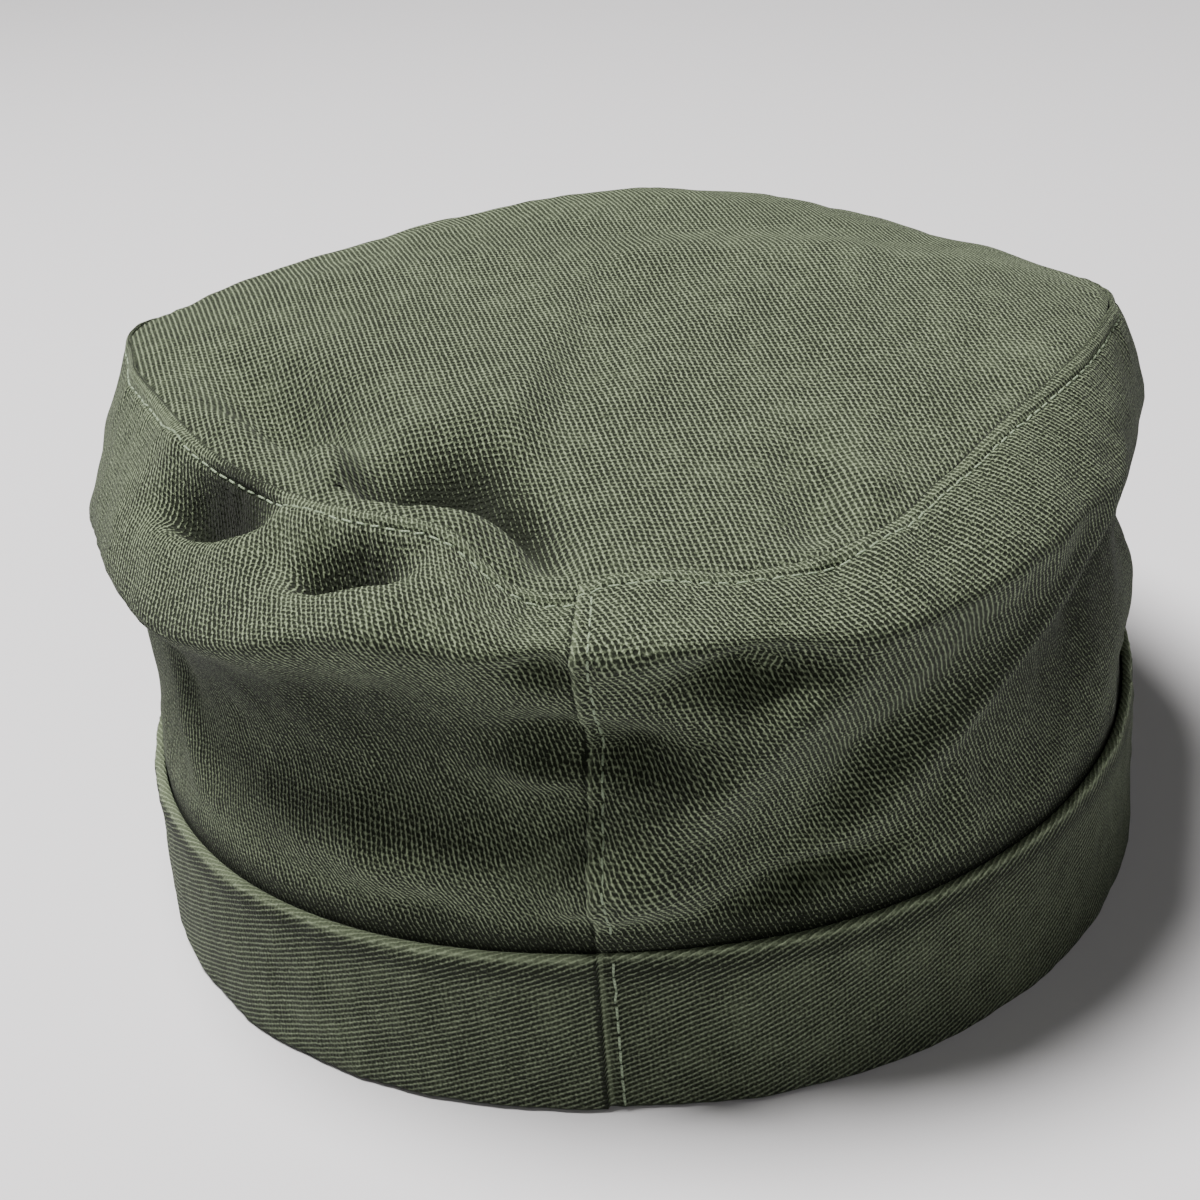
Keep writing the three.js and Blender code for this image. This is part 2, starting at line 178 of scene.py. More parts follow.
# Twills: the angle of their wales from the cloth's first axis, the spacing of the wales, the pitch
# of the floats along them and their shift from wale to wale, the depth between floats, the colour
# of the floats and how sharply they stand out from the pits
TWILL_COLUMNS = ("name", "wale_angle", "wale_spacing", "float_pitch", "float_shift", "float_depth",
                 "tip", "contrast")
TWILLS = (
    ("crown_twill", 63.5, 0.76, 0.8, -0.5, 0.6, TIP_GREEN, 1.25),
    ("top_twill", -70, 0.8, 0.92, 0.33, 0.6, TIP_GREEN, 1.08),
    ("band_twill", 158, 0.78, 0.77, -0.37, 0.35, BAND_TIP_GREEN, 0.72),
)
WALE_SHARPNESS = 2.0
FLOAT_SHARPNESS = 1.8
MIDDLE_HEIGHT = 0.7
WEAR_AND_SHADE_SHARE = 0.28
WEAVE_HIGH = 0.22
THREAD_TWIST = 12
PLY_HIGH = 0.05

# Unevenness of the weave: noise per millimetre, its detail and how much it adds
DRIFT = (0.03, 1, 0.9)
JITTER = (0.9, 2, 0.45)
YARN = (2.6, 4, 1.9)
MOTTLE = (0.22, 4, 0.25)
CLOUD = (0.035, 2, 0.2)

# Floor and lights, in metres and watts
FLOOR_HALF = 4.0
FLOOR_DROP = 0.0003
FLOOR_COLOUR = (0.66, 0.65, 0.68)
LIGHT_COLOUR = (1.0, 0.985, 0.95)
LIGHT_COLUMNS = ("name", "place", "aim_up", "size", "power")
LIGHTS = (
    ("overhead", (0.42, 0.05, 1.5), 0.05, 0.7, 67),
    ("right", (-1.4, 0.6, 0.8), 0.05, 1.6, 2),
    ("front", (-0.5, 1.4, 0.8), 0.03, 1.0, 5),
)

# One row for each section round the cap. Outs are measured from the band's oval, ups from the
# floor. The side strip is drawn in at the waist, rolls out at the belly and meets the top at the
# seam. Fall says how late the top bends down on its way out to the seam.
SECTION_COLUMNS = ("turn", "waist_out", "belly_out", "belly_up", "seam_out", "seam_up", "fall")
SECTIONS = (
    (-150, -4, 2, 62, -10, 77, 2.0),
    (-122, -4, 2, 64, -11, 80, 2.1),
    (-95, -2, 2.5, 69, -4, 86, 2.4),
    (-72, -4, 0.5, 73, -6, 89, 2.4),
    (-50, -6, 3, 75, -11, 86.7, 2.0),
    (-38, -4, 5.5, 74, -10.8, 83.3, 1.8),
    (-28, -2, 6.5, 73, -7.8, 80.2, 1.7),
    (-20, -2, 6, 73, -7.5, 78.8, 1.6),
    (-8, -4, 5, 74, -10.5, 78.8, 1.5),
    (1, -5, 5, 74, -8.5, 77.8, 1.5),
    (8, -6, 5, 75, -12.5, 85, 1.5),
    (15, -7, 5.5, 76, -14, 86, 1.5),
    (30, -7, 6, 70.5, -15, 85.5, 1.7),
    (57, -6, 3, 70, -11, 88.5, 2.0),
    (76, -1, 5, 65, -4.5, 88.5, 2.4),
    (92, 1, 7, 62, 0, 87, 2.6),
    (122, -2, 4, 62, -8, 80, 2.2),
    (150, -4, 2, 60, -10, 77, 2.0),
    (180, -4, 1, 60, -8, 76, 2.0),
)

# Folds of the side strip: middle, half length, half width, climb in degrees, and height outwards
SIDE_FOLD_COLUMNS = ("name", "turn", "up", "length", "width", "climb", "out")
SIDE_FOLDS = (
    ("roll along the left shoulder", 33, 69, 25, 4, -6, 1.5),
    ("hollow below the left shoulder", 20, 62, 30, 9, 0, -3.5),
    ("pinch left of the back seam", 0, 60, 8, 3, -6, -4),
    ("streak left of the back seam", 1, 52.5, 9, 2.5, 4, 3),
    ("pinch under the shoulder", 0, 72, 5, 2.5, 0, -4),
    ("bulge above the band", 16, 38, 22, 5, 0, 5),
    ("fold down the far left", 50, 43, 22, 4, 32, 2),
    ("low roll on the left", 92, 42, 26, 9, 0, 4),
    ("hollow under the right shoulder", -15, 69.5, 11, 3.5, 0, -6),
    ("hollow beside the back seam", -6, 56.5, 10, 4, -8, -6),
    ("broad fold on the right", -11, 51, 25, 6, -42, 7),
    ("valley beside that fold", -25, 49, 22, 5, -40, -4),
    ("bulge right of the back seam", -6, 37, 9, 4.5, -6, 4.5),
    ("long fold on the right", -41, 57, 30, 3.5, -30, 3),
    ("hollow behind that fold", -66, 56, 28, 8, -32, -3),
    ("short fold above the band", -35, 39, 8, 3, 75, 1.5),
    ("crease above the band", -18, 31.5, 15, 3.2, -14, -6),
    ("low roll on the right", -96, 37, 30, 8, 0, 3),
    ("notch above that roll", -98, 52, 22, 5, 0, -3),
    ("soft fold at the front left", 138, 55, 30, 9, 24, 2.5),
    ("soft fold at the front right", -140, 56, 32, 9, -22, 2.5),
)

# Folds of the top and of the shoulder outside its seam, placed in plan. Heading 0 runs along X
# and 90 along Y.
TOP_FOLD_COLUMNS = ("name", "x", "y", "length", "width", "heading", "up")
TOP_FOLDS = (
    ("dent by the back seam", 20, 68, 11, 7.5, 6, -13),
    ("deepest part of that dent", 14, 74, 8, 4.5, -4, -9),
    ("tail of that dent", 4, 79, 9, 3.5, 116, -5),
    ("lip left of the dents", 35, 69, 11, 4, 97, 4.5),
    ("valley on the left", 46, 44, 19, 6.5, -46, -12),
    ("lump by the left seam", 59, 55, 9, 6, -40, 4),
    ("long dent outside the left seam", 52, 67, 12, 4.5, -36, -13),
    ("bump outside the left seam", 40, 77, 5, 5, 45, 4),
    ("pinch beside that bump", 41, 81, 4, 3.5, -30, -3),
    ("dent outside the kink", 29, 88, 8, 4, -18, -13),
    ("valley on the right", -34, 73, 14, 4.5, 97, -3.5),
    ("roll beside that valley", -42, 74, 12, 5, 95, 1.5),
    ("crest across the middle", -4, 6, 60, 6, 0, 0.8),
    ("valley past the crest", -10, -8, 60, 7, 0, -1.2),
    ("rise towards the front", 4, -30, 45, 12, 0, 1.2),
)

# Broad places of the side that lie in shade, made darker there as painted shade: middle, half
# turn, half height and how much
SHADE_COLUMNS = ("name", "turn", "up", "half_turn", "half_height", "dark")
SHADES = (
    ("under the left shoulder", 36, 60, 28, 10, 1.8),
    ("far right", -64, 56, 28, 18, 1.8),
    ("above the band on the left", 60, 42, 26, 10, 0.6),
)

# Mesh steps
BACK_TURN_STEP = 0.34
FRONT_TURN_STEP = 1.0
FINE_TO_TURN = 112
TURN_PROBE = 1.5
STEP_PROBE = 0.01
SAMPLES_ALONG = 150
EDGE_ROW_STEP = 0.28
EDGE_ROWS_TO = 3.4
CLOTH_ROW_STEP = 1.5
INSIDE_EVERY = 3
ROUND_STEPS = 5
FOOT_ROWS = 6
MIDDLE_REACH = 0.02
LAP_EDGE_TURNS = (0.0, 0.1, 0.2)
LEAST_TURN_STEP = 0.08
BAND_TURNED = 0.02
BAND_ROWS = 18
RIM_FROM = 0.9
RIM_ROWS = 5
BAND_INSIDE_ROWS = 9
BAND_ROUND_STEPS = 7
PEAK_COLUMNS = 220
PEAK_ROWS = 46
PEAK_BARE_COLUMNS = 6
NOSE_STEPS = 8

# Cloth coordinates: how far out from the band's oval they are measured round the cap, how many
# columns they are averaged over, and how much a dent draws them in
ARC_OUT = -2
EVEN_COLUMNS = 32
DENT_CLOTH = 0.5

# Where the folds begin and end, in steps of rise and reach
SIDE_FOLDS_FROM = 0.25
SHOULDER_FROM = 2
SHOULDER_TO = 2.6
FOLDS_TO_RISE = 2.85
FOLDS_TO_REACH = 0.93


def named_rows(columns, rows):
    """Rows of a table as dictionaries with the columns' names."""
    return [dict(zip(columns, row)) for row in rows]


SECTION_ROWS = named_rows(SECTION_COLUMNS, SECTIONS)
SIDE_FOLD_ROWS = named_rows(SIDE_FOLD_COLUMNS, SIDE_FOLDS)
TOP_FOLD_ROWS = named_rows(TOP_FOLD_COLUMNS, TOP_FOLDS)
SHADE_ROWS = named_rows(SHADE_COLUMNS, SHADES)


def smooth(value, low, high):
    """Smooth step from 0 at low to 1 at high."""
    share = np.clip((value - low) / (high - low), 0, 1)
    return share * share * (3 - 2 * share)


def bell(distance, half_width):
    """1 at a distance of 0, fading out on both sides."""
    return np.exp(-((distance / half_width) ** 2))


def cubic(start, end, slope_start, slope_end, share):
    """A curve from start to end with the slopes given, at a share of the way."""
    square = share * share
    cube = square * share
    return (start * (2 * cube - 3 * square + 1) + slope_start * (cube - 2 * square + share)
            + end * (3 * square - 2 * cube) + slope_end * (cube - square))


def soft_noise(points, wavelength, seed):
    """Smooth noise of about -1 to 1, as a sum of waves of about one length in all directions."""
    draw = np.random.default_rng(seed)
    waves = 22
    heading = draw.normal(size=(points.shape[-1], waves))
    heading /= np.linalg.norm(heading, axis=0)
    number = 2 * np.pi / wavelength * draw.uniform(0.6, 1.4, waves)
    phase = draw.uniform(0, 2 * np.pi, waves)
    return np.cos(points @ (heading * number) + phase).sum(-1) / math.sqrt(waves)


# Forms of the cap


def section(column, turn):
    """A column of the section table at any turn, as one smooth closed curve."""
    turns = np.array([row["turn"] for row in SECTION_ROWS], float)
    values = np.array([row[column] for row in SECTION_ROWS], float)
    count = len(turns)
    all_turns = np.concatenate([turns - 360, turns, turns + 360])
    all_values = np.concatenate([values, values, values])
    wrapped = np.mod(turn - turns[0], 360) + turns[0]
    at = np.clip(np.searchsorted(all_turns, wrapped) - 1, 1, 3 * count - 3)
    span = all_turns[at + 1] - all_turns[at]

    def slope(index):
        rise = all_values[index + 1] - all_values[index - 1]
        return span * rise / (all_turns[index + 1] - all_turns[index - 1])

    share = (wrapped - all_turns[at]) / span
    return cubic(all_values[at], all_values[at + 1], slope(at), slope(at + 1), share)


def oval_radius(turn):
    """Radius of the band's squared oval."""
    across = np.abs(np.sin(np.radians(turn)) / BAND_HALF_WIDTH) ** OVAL_SQUARENESS
    along = np.abs(np.cos(np.radians(turn)) / BAND_HALF_LENGTH) ** OVAL_SQUARENESS
    return (across + along) ** (-1 / OVAL_SQUARENESS)


def point_at(turn, out, up):
    """A point at a turn, out from the band's oval and up from the floor."""
    radius = oval_radius(turn) + out
    x = radius * np.sin(np.radians(turn))
    y = radius * np.cos(np.radians(turn))
    return np.stack([x, y, up + 0 * radius], -1)


def within_half_turn(turn):
    return np.mod(turn + 180, 360) - 180


def lift_at(turn):
    """How far the band's lower edge stands off the floor."""
    return FRONT_LIFT * smooth(np.abs(within_half_turn(turn)), LIFT_FROM_TURN, LIFT_TO_TURN)


def lap_out(turn):
    """The upper end of the lapped seam stands out by one layer, with a crisp edge at turn 0."""
    distance = -np.radians(turn) * BAND_HALF_LENGTH
    layer = LAP_STEP * (1 - smooth(distance, LAP_WIDTH, LAP_WIDTH + LAP_FADE))
    return np.where(turn > 0, 0, layer)


def fold_height(along, across, fold, heading):
    """1 in the middle of a fold, fading out over its length and its width."""
    cos = math.cos(math.radians(heading))
    sin = math.sin(math.radians(heading))
    lengthwise = (along * cos + across * sin) / fold["length"]
    crosswise = (across * cos - along * sin) / fold["width"]
    return np.exp(-lengthwise**2 - crosswise**2)


def seam_shift(turn, rise):
    """Degrees that the back seam lies to the right of turn 0, less further from it."""
    shift = -SEAM_SHIFT_LOW - (SEAM_SHIFT_HIGH - SEAM_SHIFT_LOW) * rise / 3
    return shift * bell(within_half_turn(turn), SEAM_LEAN_SPREAD)


def side_folds_out(turn, up):
    """How far all the folds of the side strip stand out at a place."""
    out = 0 * turn
    for fold in SIDE_FOLD_ROWS:
        along = np.radians(within_half_turn(turn - fold["turn"])) * oval_radius(fold["turn"])
        out = out + fold["out"] * fold_height(along, up - fold["up"], fold, fold["climb"])
    return out


def top_folds_up(x, y):
    """How far all the folds of the top stand up at a place in plan."""
    up = 0 * x
    for fold in TOP_FOLD_ROWS:
        up = up + fold["up"] * fold_height(x - fold["x"], y - fold["y"], fold, fold["heading"])
    return up


def shoulder_folds_up(point, rise):
    """How far the dents of the top carry the shoulder outside its seam up or down."""
    on_shoulder = smooth(rise, SHOULDER_FROM, SHOULDER_TO) * (1 - smooth(rise, FOLDS_TO_RISE, 3))
    return on_shoulder * top_folds_up(point[..., 0], point[..., 1])


def side_point(turn, rise, folded=True):
    """Face of the side strip, with or without its folds.

    Rise 0 is where it leaves the band, 1 the waist, 2 the belly and 3 the seam."""
    turn, rise = np.broadcast_arrays(np.asarray(turn, float), np.asarray(rise, float))
    ledge_out = -BAND_WALL - PIECE_GAP + 0 * turn
    outs = [ledge_out, section("waist_out", turn), section("belly_out", turn), section("seam_out", turn)]
    ledge_up = BAND_HEIGHT + lift_at(turn) + LEDGE_RISE
    waist_up = WAIST_UP + lift_at(turn) / 2
    ups = [ledge_up, waist_up, section("belly_up", turn), section("seam_up", turn)]
    interval = np.minimum(np.floor(rise).astype(int), 2)
    share = rise - interval

    def along(values, at_seam):
        slopes = [values[1] - values[0], (values[2] - values[0]) / 2,
                  (values[3] - values[1]) / 2 * BELLY_SHARPNESS, (values[3] - values[2]) * at_seam]
        parts = [cubic(values[i], values[i + 1], slopes[i], slopes[i + 1], share) for i in range(3)]
        return np.choose(interval, parts)

    out = along(outs, SEAM_ROLL)
    up = along(ups, SEAM_RISE)
    held = smooth(rise, 0, SIDE_FOLDS_FROM) * (1 - smooth(rise, FOLDS_TO_RISE, 3))
    lean = SEAM_LEAN * (rise / 3) * bell(within_half_turn(turn), SEAM_LEAN_SPREAD)
    if not folded:
        return point_at(turn + lean, out, up)
    point = point_at(turn + lean, out + held * side_folds_out(turn, up), up)
    point[..., 2] += shoulder_folds_up(point, rise)
    return point


def side_grid(turn, rise):
    """The side strip's face, with the columns beside the back seam moved to follow the seam."""
    return side_point(turn + seam_shift(turn, rise), rise)


def offset_point(surface, turn, step, distance):
    """A point that stands off a surface by a distance."""
    along = surface(turn + TURN_PROBE, step) - surface(turn - TURN_PROBE, step)
    across = surface(turn, step + STEP_PROBE) - surface(turn, step - STEP_PROBE)
    square = np.cross(along, across)
    square /= np.linalg.norm(square, axis=-1, keepdims=True)
    return surface(turn, step) + square * distance


def top_point(turn, reach):
    """Face of the oval top. Reach 0 is the middle and 1 the edge, which meets the side strip's edge."""
    turn, reach = np.broadcast_arrays(np.asarray(turn, float), np.asarray(reach, float))
    seat = offset_point(side_point, turn, np.array(3.0), EDGE_ROUND)
    inset = 1 - TOP_INSET * EDGE_ROUND / np.hypot(seat[..., 0], seat[..., 1])
    x = seat[..., 0] * inset * reach
    y = -APEX_FORWARD + (seat[..., 1] * inset + APEX_FORWARD) * reach
    edge_up = seat[..., 2] + EDGE_ROUND
    up = APEX_UP + (edge_up - APEX_UP) * reach ** section("fall", turn)
    return np.stack([x, y, up + top_folds_up(x, y) * (1 - smooth(reach, FOLDS_TO_REACH, 1))], -1)


# Grids of points: turns round the cap by rows along the cloth


def turns_round():
    """Turns all round, closer together at the back, with three at the lap's edge and one at its
    stitches."""
    back = np.arange(-FINE_TO_TURN, FINE_TO_TURN + 0.001, BACK_TURN_STEP)
    front = np.arange(FINE_TO_TURN + FRONT_TURN_STEP, 360 - FINE_TO_TURN - 0.001, FRONT_TURN_STEP)
    lap = np.array([-STITCH_TURN, *LAP_EDGE_TURNS])
    back = back[np.min(np.abs(back[:, None] - lap[None, :]), axis=1) > LEAST_TURN_STEP]
    return np.sort(np.concatenate([back, front, lap]))


STITCH_TURN = math.degrees(TOPSTITCH_IN / BAND_HALF_LENGTH)
TURNS = turns_round()


def lengths_along(points):
    """Distance along the second axis of a grid of points, from 0 at the first row."""
    steps = np.linalg.norm(np.diff(points, axis=1), axis=-1)
    return np.concatenate([np.zeros((len(points), 1)), np.cumsum(steps, axis=1)], axis=1)


def rows_from_edge(length):
    """Distances from a sewn edge: close together beside it and even further in, as shares of length."""
    edge = np.arange(0, EDGE_ROWS_TO, EDGE_ROW_STEP)
    count = int(np.ceil((length - EDGE_ROWS_TO) / CLOTH_ROW_STEP))
    return edge, np.linspace(0, 1, count + 1)


def rows_on(surface, first_step, last_step):
    """A grid on a surface with its rows at even distances from the edge at first_step.

    Gives the points, their distances from the edge and their steps on the surface."""
    steps = np.linspace(first_step, last_step, SAMPLES_ALONG)
    dense = surface(TURNS[:, None], steps[None, :])
    lengths = lengths_along(dense)
    edge, inner = rows_from_edge(lengths[:, -1].max())
    grid_steps = []
    grid_lengths = []
    for column in range(len(TURNS)):
        total = lengths[column, -1]
        wanted = np.concatenate([edge, EDGE_ROWS_TO + (total - EDGE_ROWS_TO) * inner])
        grid_steps.append(np.interp(wanted, lengths[column], steps))
        grid_lengths.append(wanted)
    grid_steps = np.array(grid_steps)
    return surface(TURNS[:, None], grid_steps), np.array(grid_lengths), grid_steps


def even_lengths(rises):
    """Distance down the unfolded side strip from the seam, averaged over neighbouring turns."""
    steps = np.linspace(3, 0, SAMPLES_ALONG)
    lengths = lengths_along(side_point(TURNS[:, None], steps[None, :], False))
    window = np.hanning(2 * EVEN_COLUMNS + 1)
    window /= window.sum()
    padded = np.concatenate([lengths[-EVEN_COLUMNS:], lengths, lengths[:EVEN_COLUMNS]])
    averaged = sum(share * padded[index:index + len(TURNS)] for index, share in enumerate(window))
    return np.array([np.interp(rises[column], steps[::-1], averaged[column, ::-1])
                     for column in range(len(TURNS))])


def normals_of(points):
    """Normals of a closed grid, on the side that turn and row wind round to."""
    along = np.roll(points, -1, axis=0) - np.roll(points, 1, axis=0)
    across = np.gradient(points, axis=1)
    normal = np.cross(along, across)
    return normal / np.maximum(np.linalg.norm(normal, axis=-1, keepdims=True), 1e-9)


def round_edge(points, normal, wall):
    """Rows that carry the first row of a face over a rounded edge to the back of a wall."""
    centre = points[:, 0] - normal[:, 0] * wall / 2
    ahead = points[:, 0] - points[:, 1]
    ahead -= normal[:, 0] * np.sum(ahead * normal[:, 0], axis=-1, keepdims=True)
    ahead /= np.linalg.norm(ahead, axis=-1, keepdims=True)
    rows = []
    for step in range(1, ROUND_STEPS):
        angle = np.pi * step / ROUND_STEPS
        rows.append(centre + (normal[:, 0] * math.cos(angle) + ahead * math.sin(angle)) * wall / 2)
    return np.stack(rows, axis=1)


# Meshes


BAND_LOW, BAND_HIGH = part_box("band")
OPENING_CENTRE = np.array([
    (BAND_LOW.x + BAND_HIGH.x) / 2,
    BAND_LOW.y + BAND_HALF_LENGTH * METRES,
    BAND_LOW.z,
])


def to_row_frame(points):
    """Points in metres about the frame's origin."""
    return np.asarray(points) * METRES + OPENING_CENTRE


def mesh_piece(name, points, faces, loop_cloth, material, wear_and_shade=None):
    """A smooth mesh in the row frame, with its cloth coordinates in millimetres as a UV map."""
    mesh = bpy.data.meshes.new(name)
    mesh.from_pydata(to_row_frame(points).tolist(), [], faces)
    cloth = mesh.uv_layers.new(name="cloth")
    cloth.data.foreach_set("uv", np.asarray(loop_cloth, np.float32).ravel())
    # The attribute carries the cloth's wear and painted shade at each point.
    if wear_and_shade is not None:
        worn_and_shaded = mesh.attributes.new("wear_and_shade", "FLOAT", "POINT")
        worn_and_shaded.data.foreach_set("value", np.asarray(wear_and_shade, np.float32).ravel())
    mesh.polygons.foreach_set("use_smooth", [True] * len(faces))
    mesh.materials.append(material)
    mesh.update()
    piece = bpy.data.objects.new(name, mesh)
    bpy.context.scene.collection.objects.link(piece)
    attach(piece, "root")
    return piece


def ring_mesh(name, loops, cloth, material, wear_and_shade, close_across, caps=()):
    """Joins a grid of points that runs round the cap into one body.

    Rows close on themselves where close_across is true. Caps are pairs of a row index and a
    middle point that closes the body there, given as its point and its cloth coordinates."""
    columns, rows = loops.shape[:2]
    column = np.arange(columns)[:, None]
    spans = rows if close_across else rows - 1
    row = np.arange(spans)[None, :]
    next_column = (column + 1) % columns
    next_row = (row + 1) % rows
    quads = np.stack([
        column * rows + row, next_column * rows + row,
        next_column * rows + next_row, column * rows + next_row,
    ], -1).reshape(-1, 4)
    cloth_column = np.concatenate([cloth, cloth[:1] + CLOTH_ROUND[name]], axis=0)
    corner = [cloth_column[:-1, :spans], cloth_column[1:, :spans]]
    across = np.roll(cloth_column, -1, axis=1)[:, :spans]
    corner += [across[1:], across[:-1]]
    quad_cloth = np.stack(corner, 2).reshape(-1, 2)
    faces = quads.tolist()
    loop_cloth = [quad_cloth]
    points = loops.reshape(-1, 3)
    worn_and_shaded = wear_and_shade.ravel()
    for cap_row, cap_point, cap_cloth in caps:
        middle = len(points)
        points = np.vstack([points, cap_point])
        worn_and_shaded = np.append(worn_and_shaded, 0)
        first = column[:, 0] * rows + cap_row
        second = next_column[:, 0] * rows + cap_row
        order = (first, second) if cap_row else (second, first)
        pair = (cloth_column[:-1, cap_row], cloth_column[1:, cap_row])
        pair = pair if cap_row else pair[::-1]
        triangles = np.stack([order[0], order[1], np.full(columns, middle)], -1)
        faces += triangles.tolist()
        middle_cloth = np.broadcast_to(np.array(cap_cloth, float), (columns, 2))
        loop_cloth.append(np.stack([pair[0], pair[1], middle_cloth], 1).reshape(-1, 2))
    return mesh_piece(name, points, faces, np.vstack(loop_cloth), material, worn_and_shaded)


# Materials


def node_tools(material):
    """Short helpers that add nodes to a material."""
    material.use_nodes = True
    tree = material.node_tree
    tree.nodes.clear()

    def put(socket, value):
        if isinstance(value, bpy.types.NodeSocket):
            tree.links.new(value, socket)
        else:
            socket.default_value = value

    def math_node(operation, *values):
        node = tree.nodes.new("ShaderNodeMath")
        node.operation = operation
        for index, value in enumerate(values):
            put(node.inputs[index], value)
        return node.outputs[0]

    def noise_node(vector, scale, detail):
        node = tree.nodes.new("ShaderNodeTexNoise")
        put(node.inputs["Vector"], vector)
        node.inputs["Scale"].default_value = scale
        node.inputs["Detail"].default_value = detail
        return node.outputs["Fac"]

    return tree, put, math_node, noise_node


def cloth_place(tree, put):
    """The cloth coordinates, whole and as their two parts."""
    cloth = tree.nodes.new("ShaderNodeUVMap")
    cloth.uv_map = "cloth"
    split = tree.nodes.new("ShaderNodeSeparateXYZ")
    put(split.inputs[0], cloth.outputs["UV"])
    return cloth.outputs["UV"], split.outputs["X"], split.outputs["Y"]


def colour_between(tree, put, dark, light, share):
    """A colour that goes from dark to light with a share."""
    mix = tree.nodes.new("ShaderNodeMix")
    mix.data_type = "RGBA"
    put(mix.inputs["Factor"], share)
    mix.inputs["A"].default_value = (*dark, 1)
    mix.inputs["B"].default_value = (*light, 1)
    return mix.outputs["Result"]


def bump_normal(tree, put, height, distance):
    """The normal of a surface with a fine relief, whose full height is a distance in millimetres."""
    bump = tree.nodes.new("ShaderNodeBump")
    bump.inputs["Strength"].default_value = 1
    bump.inputs["Distance"].default_value = distance * METRES
    put(bump.inputs["Height"], height)
    return bump.outputs["Normal"]


def surface_shader(tree, put, colour, roughness, specular):
    """A shader that is joined to the material's output."""
    shader = tree.nodes.new("ShaderNodeBsdfPrincipled")
    put(shader.inputs["Base Color"], colour)
    shader.inputs["Roughness"].default_value = roughness
    shader.inputs["Specular IOR Level"].default_value = specular
    output = tree.nodes.new("ShaderNodeOutputMaterial")
    put(output.inputs["Surface"], shader.outputs["BSDF"])
    return shader


def twill_material(twill):
    """Cotton twill: raised wales of short slanted floats, with painted shade darkening the pits between
    them.
    """
    material = bpy.data.materials.new(twill["name"])
    tree, put, calc, noise_node = node_tools(material)
    place, x, y = cloth_place(tree, put)

    def uneven(scale, detail, amount):
        return calc("MULTIPLY", calc("SUBTRACT", noise_node(place, scale, detail), 0.5), amount)

    jitter = uneven(*JITTER)
    u = calc("ADD", x, calc("ADD", uneven(*DRIFT), jitter))
    v = calc("SUBTRACT", y, jitter)
    sin = math.sin(math.radians(twill["wale_angle"]))
    cos = math.cos(math.radians(twill["wale_angle"]))
    across = calc("SUBTRACT", calc("MULTIPLY", u, sin), calc("MULTIPLY", v, cos))
    along = calc("ADD", calc("MULTIPLY", u, cos), calc("MULTIPLY", v, sin))
    wale_phase = calc("MULTIPLY", across, 2 * math.pi / twill["wale_spacing"])
    float_phase = calc("ADD", calc("MULTIPLY", along, 2 * math.pi / twill["float_pitch"]),
                       calc("MULTIPLY", wale_phase, twill["float_shift"]))
    ridge = calc("MULTIPLY_ADD", calc("COSINE", wale_phase), 0.5, 0.5)
    bead = calc("MULTIPLY_ADD", calc("COSINE", float_phase), 0.5, 0.5)
    hollow = calc("MULTIPLY", calc("SUBTRACT", 1.0, calc("POWER", ridge, WALE_SHARPNESS)),
                  calc("SUBTRACT", 1.0, calc("MULTIPLY", bead, twill["float_depth"])))
    height = calc("ADD", calc("SUBTRACT", 1.0, hollow), uneven(*YARN))

    shade = tree.nodes.new("ShaderNodeMapRange")
    put(shade.inputs["Value"], height)
    shade.inputs["From Min"].default_value = MIDDLE_HEIGHT - 0.5 / twill["contrast"]
    shade.inputs["From Max"].default_value = MIDDLE_HEIGHT + 0.5 / twill["contrast"]
    # The attribute makes the cloth paler where it is worn and darker with painted shade in gaps,
    # creases, dents and shaded places.
    worn_and_shaded = tree.nodes.new("ShaderNodeAttribute")
    worn_and_shaded.attribute_name = "wear_and_shade"
    floats = calc("POWER", shade.outputs["Result"], FLOAT_SHARPNESS)
    level = calc("ADD", calc("ADD", floats, uneven(*MOTTLE)), uneven(*CLOUD))
    level = calc("ADD", level, calc("MULTIPLY", worn_and_shaded.outputs["Fac"], WEAR_AND_SHADE_SHARE))

    # From painted shade deep in the pits up to the floats' green, following the weave's height.
    colour = colour_between(tree, put, PIT_SHADE_GREEN, twill["tip"], level)
    shader = surface_shader(tree, put, colour, 0.88, 0.15)
    put(shader.inputs["Normal"], bump_normal(tree, put, height, WEAVE_HIGH))
    shader.inputs["Sheen Weight"].default_value = 0.04
    shader.inputs["Sheen Roughness"].default_value = 0.5
    return material


def thread_material():
    """Sewing thread, two plies twisted along its length."""
    material = bpy.data.materials.new("thread")
    tree, put, calc, noise_node = node_tools(material)
    place, along, around = cloth_place(tree, put)
    twist = calc("ADD", calc("MULTIPLY", along, THREAD_TWIST), around)
    ply = calc("MULTIPLY_ADD", calc("SINE", twist), 0.5, 0.5)
    share = calc("MULTIPLY_ADD", noise_node(place, 0.7, 2), 0.5, calc("MULTIPLY", ply, 0.5))
    colour = colour_between(tree, put, THREAD_DARK, THREAD_LIGHT, share)
    shader = surface_shader(tree, put, colour, 0.6, 0.4)
    put(shader.inputs["Normal"], bump_normal(tree, put, ply, PLY_HIGH))
    return material


def plain_material(name, colour):
    material = bpy.data.materials.new(name)
    tree, put = node_tools(material)[:2]
    surface_shader(tree, put, (*colour, 1), 0.9, 0.1)
    return material


CLOTHS = {twill["name"]: twill_material(twill) for twill in named_rows(TWILL_COLUMNS, TWILLS)}
THREAD = thread_material()


# Side strip


def uneven_at(points, waves):
    """Unevenness at points, as a sum of soft noises."""
    return sum(height * soft_noise(points, wavelength, seed) for height, wavelength, seed in waves)


def uneven_along(place, waves):
    """The same at distances along a seam."""
    return uneven_at(place[..., None], waves)


def swelling(place, regular, waves):
    """Height of a welt along its stitches: about 1, more between stitches, and uneven."""
    return 1 + regular * np.sin(2 * np.pi * place / STITCH_PITCH) + uneven_along(place, waves)


